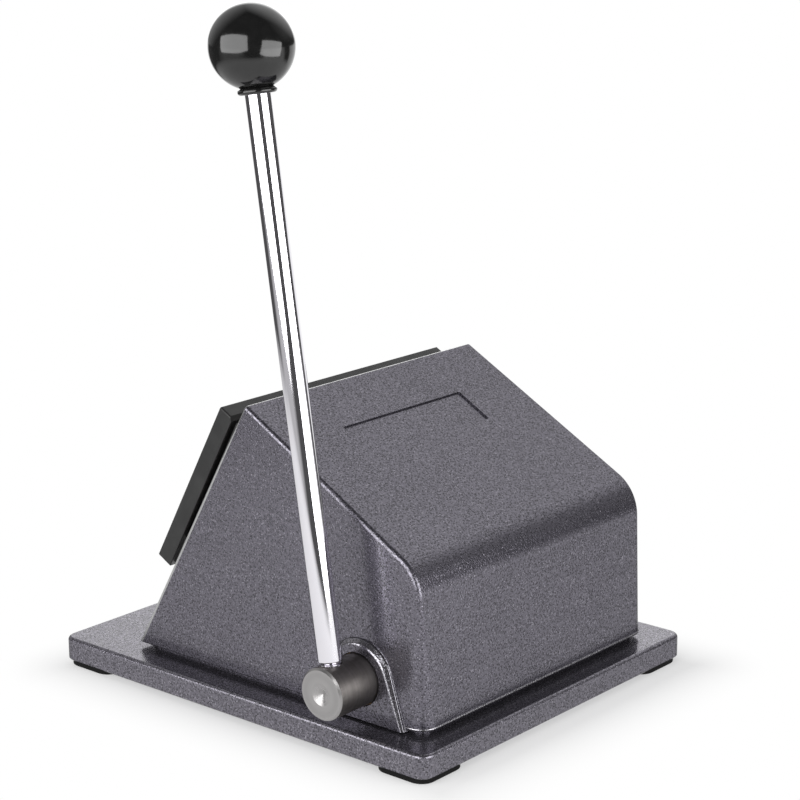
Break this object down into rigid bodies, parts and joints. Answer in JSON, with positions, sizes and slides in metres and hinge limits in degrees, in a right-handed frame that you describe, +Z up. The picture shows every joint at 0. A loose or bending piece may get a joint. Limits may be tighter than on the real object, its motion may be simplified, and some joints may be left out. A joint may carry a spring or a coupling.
{
  "type": "circle paper cutter",
  "caption": "Desk cutter that punches paper discs: cast wedge housing on a base plate, side lever with ball knob, eccentric shaft, sprung punch and front die plate.",
  "frame": {"origin": "on the desk surface, under the middle of the base plate", "axes": "+Z up, -Y towards the operator and the die plate, +X towards the lever"},
  "size_m": [0.2375, 0.251, 0.3566],
  "materials": {
    "hammer_finish": "hammer finish enamel on cast iron, semi-gloss",
    "black_plate": "blackened steel plate, satin",
    "ground_steel": "ground and turned steel, satin",
    "dark_steel": "oiled dark steel",
    "chrome": "bright chrome plating",
    "bronze": "turned bearing bronze",
    "rubber": "matt black rubber",
    "phenolic": "polished black phenolic"
  },
  "bodies": {
    "frame": {"base_plate": "hammer_finish", "foot_front_left": "rubber", "foot_front_right": "rubber", "foot_rear_left": "rubber", "foot_rear_right": "rubber", "foot_screws": "ground_steel", "housing": "hammer_finish", "housing_bolts": "ground_steel", "bush_lever_side": "bronze", "bush_far_side": "bronze", "thrust_washer": "bronze", "guide_plate": "black_plate", "guide_plate_screws": "dark_steel", "die_plate": "black_plate", "die_screws": "dark_steel", "dowel_pins": "ground_steel", "slot_fence": "black_plate", "slot_spacers": "black_plate", "guide_post_left": "ground_steel", "guide_post_right": "ground_steel", "post_washers": "ground_steel", "post_nuts": "ground_steel", "return_spring_left": "ground_steel", "return_spring_right": "ground_steel"},
    "lever": {"drive_shaft": "dark_steel", "retaining_ring": "dark_steel", "eccentric": "ground_steel", "eccentric_key": "ground_steel", "eccentric_set_screw": "dark_steel", "lever_rod": "chrome", "knob": "phenolic", "knob_insert": "dark_steel"},
    "ram": {"punch": "ground_steel", "punch_screws": "dark_steel", "crosshead": "dark_steel", "crosshead_bush_left": "bronze", "crosshead_bush_right": "bronze", "ram": "dark_steel", "ram_screws": "dark_steel", "ram_pad": "ground_steel"}
  },
  "joints": [
    {"name": "lever_swing", "type": "hinge", "parent": "frame", "child": "lever", "pos_m": [0.09, 0.0722, 0.0367], "axis": [1, 0, 0], "range_deg": [0, 70]},
    {"name": "ram_slide", "type": "slide", "parent": "frame", "child": "ram", "axis": [0, -0.8746, 0.4848], "range_m": [0, 0.00689], "stiffness_N_per_m": 4500, "springref_m": -0.009, "deforming": ["return_spring_left", "return_spring_right"]}
  ],
  "couplings": [
    {"joint": "ram_slide", "follows": "lever_swing", "m_per_rad": 0.0056337}
  ]
}
